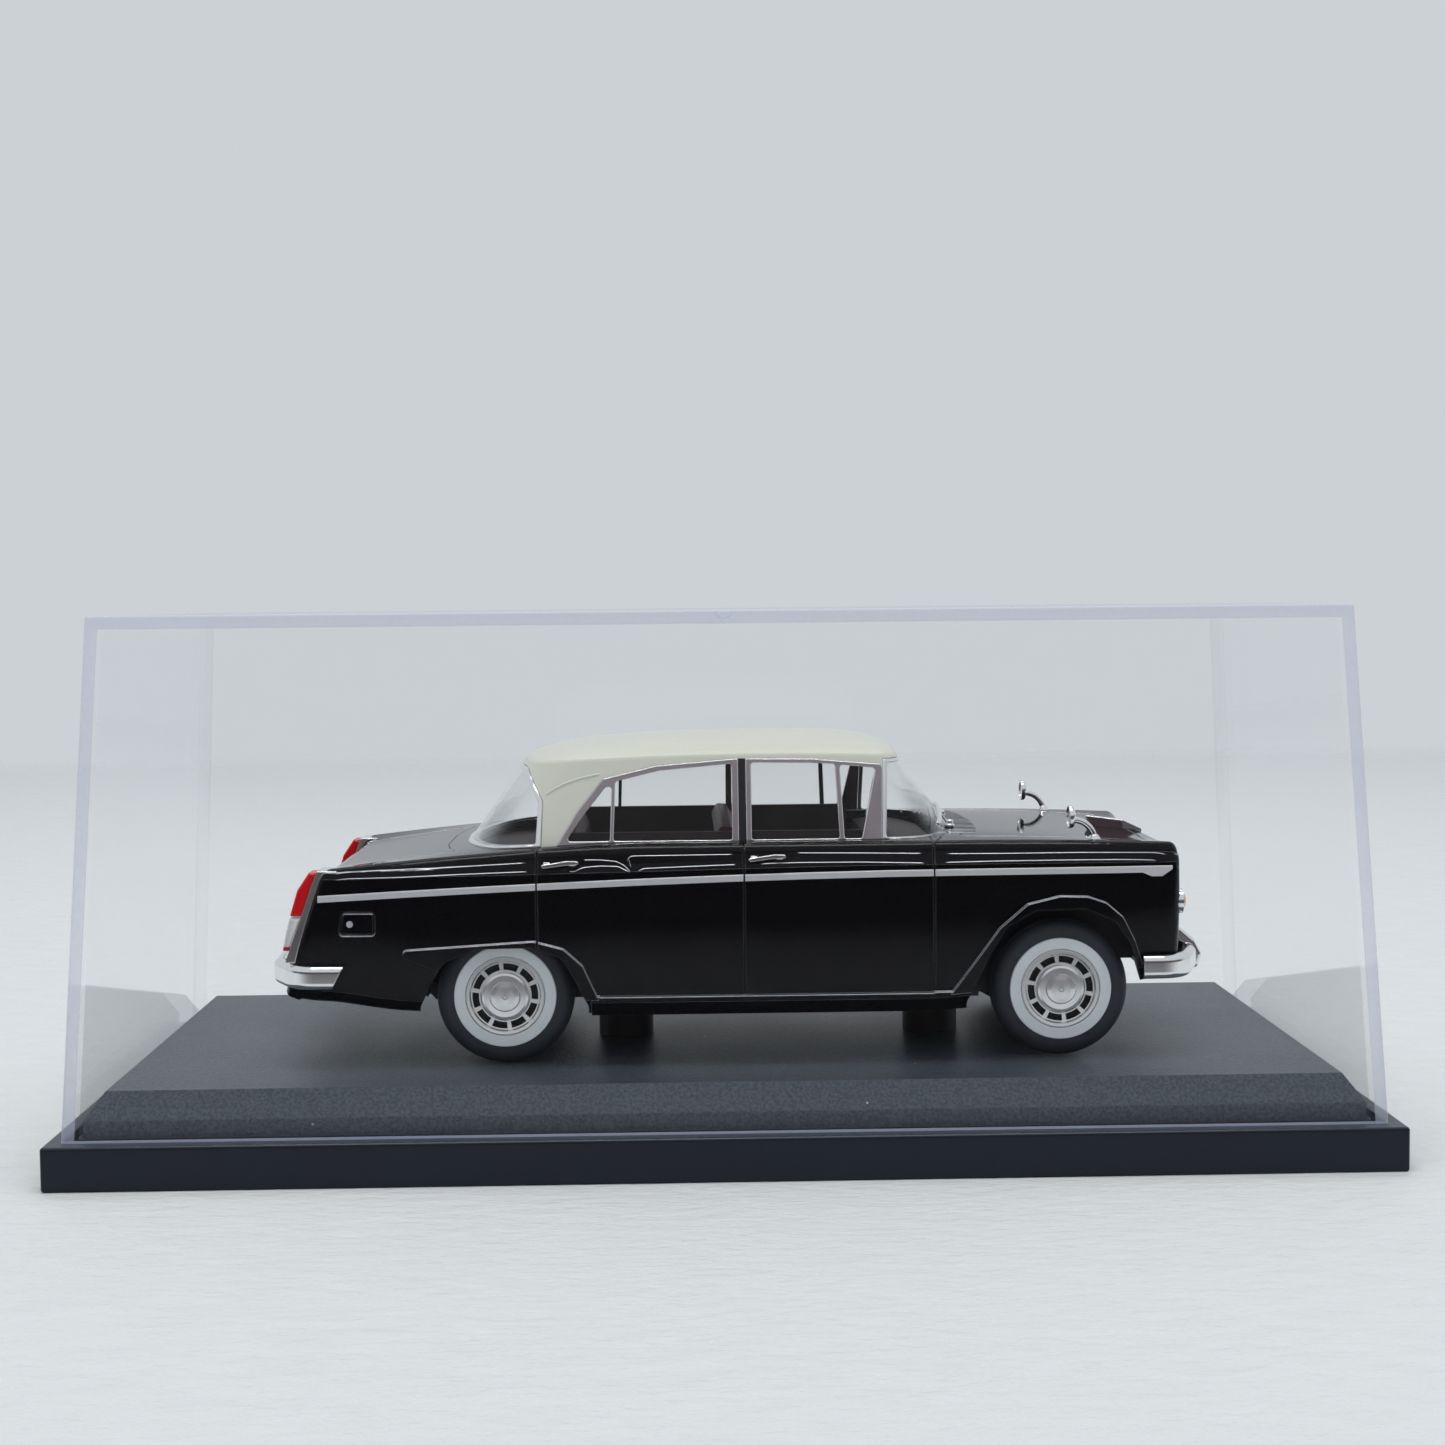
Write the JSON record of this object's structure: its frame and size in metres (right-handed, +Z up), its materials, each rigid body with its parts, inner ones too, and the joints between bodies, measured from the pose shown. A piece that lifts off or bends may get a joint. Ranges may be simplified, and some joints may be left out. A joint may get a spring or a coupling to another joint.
{
  "type": "display case",
  "caption": "Clear lift-off display case on a stepped black plinth, holding a die-cast scale model of a black and ivory classic saloon that is screwed on from below.",
  "frame": {"origin": "middle of the plinth's underside", "axes": "+X along the case, the way the model faces; +Y across the case towards the model's left side; +Z up"},
  "size_m": [0.145, 0.065, 0.0605],
  "materials": {
    "plinth_black": "fine-grained black moulding, plain on the outer faces",
    "clear_plastic": "clear glossy moulding",
    "post_black": "black plastic spacer",
    "screw_steel": "bright zinc",
    "body_paint": "gloss black enamel",
    "roof_paint": "gloss ivory enamel",
    "model_glazing": "clear glazing",
    "plated_trim": "bright plating",
    "satin_strip": "satin silver",
    "clear_lens": "clear lens",
    "amber_lens": "amber lens",
    "red_lens": "red lens",
    "chassis_black": "satin black",
    "exhaust_grey": "grey",
    "interior_dark": "dark satin",
    "seat_red": "dark red satin",
    "tyre_rubber": "matt black",
    "whitewall": "pale grey-white satin",
    "axle_steel": "plain steel"
  },
  "bodies": {
    "base": {"plinth": "plinth_black", "mounting_posts": "post_black", "mounting_screws": "screw_steel", "body_shell": "body_paint", "roof_shell": "roof_paint", "b_pillars": "body_paint", "windscreen": "model_glazing", "rear_screen": "model_glazing", "side_glass_right": "model_glazing", "side_glass_left": "model_glazing", "windscreen_surround": "plated_trim", "rear_screen_surround": "plated_trim", "window_frames_right": "plated_trim", "window_frames_left": "plated_trim", "side_strip_right": "satin_strip", "side_strip_left": "satin_strip", "door_handles": "plated_trim", "boot_handle": "plated_trim", "front_bumper": "plated_trim", "rear_bumper": "plated_trim", "front_grille": "plated_trim", "lamp_bezels": "plated_trim", "headlamp_lenses": "clear_lens", "turn_lamp_lenses": "amber_lens", "tail_lamp_bezels": "plated_trim", "tail_lamp_red_lenses": "red_lens", "tail_lamp_clear_lenses": "clear_lens", "fender_mirrors": "plated_trim", "bonnet_ornament": "plated_trim", "wipers": "plated_trim", "chassis": "chassis_black", "chassis_screws": "screw_steel", "exhaust": "exhaust_grey", "interior_tub": "interior_dark", "front_seat": "seat_red", "rear_seat": "seat_red", "dashboard": "interior_dark", "steering_column": "interior_dark", "steering_wheel": "interior_dark"},
    "cover": {"clear_cover": "clear_plastic"},
    "front_wheelset": {"front_axle": "axle_steel", "front_right_tyre": "tyre_rubber", "front_right_whitewall": "whitewall", "front_right_wheel": "plated_trim", "front_left_tyre": "tyre_rubber", "front_left_whitewall": "whitewall", "front_left_wheel": "plated_trim"},
    "rear_wheelset": {"rear_axle": "axle_steel", "rear_right_tyre": "tyre_rubber", "rear_right_whitewall": "whitewall", "rear_right_wheel": "plated_trim", "rear_left_tyre": "tyre_rubber", "rear_left_whitewall": "whitewall", "rear_left_wheel": "plated_trim"}
  },
  "joints": [
    {"name": "cover_lift", "type": "slide", "parent": "base", "child": "cover", "axis": [0, 0, 1], "range_m": [0, 0.07]},
    {"name": "front_axle_spin", "type": "hinge", "parent": "base", "child": "front_wheelset", "pos_m": [0.0379, 0, 0.01737], "axis": [0, 1, 0], "continuous": true},
    {"name": "rear_axle_spin", "type": "hinge", "parent": "base", "child": "rear_wheelset", "pos_m": [-0.0247, 0, 0.01737], "axis": [0, 1, 0], "continuous": true}
  ]
}
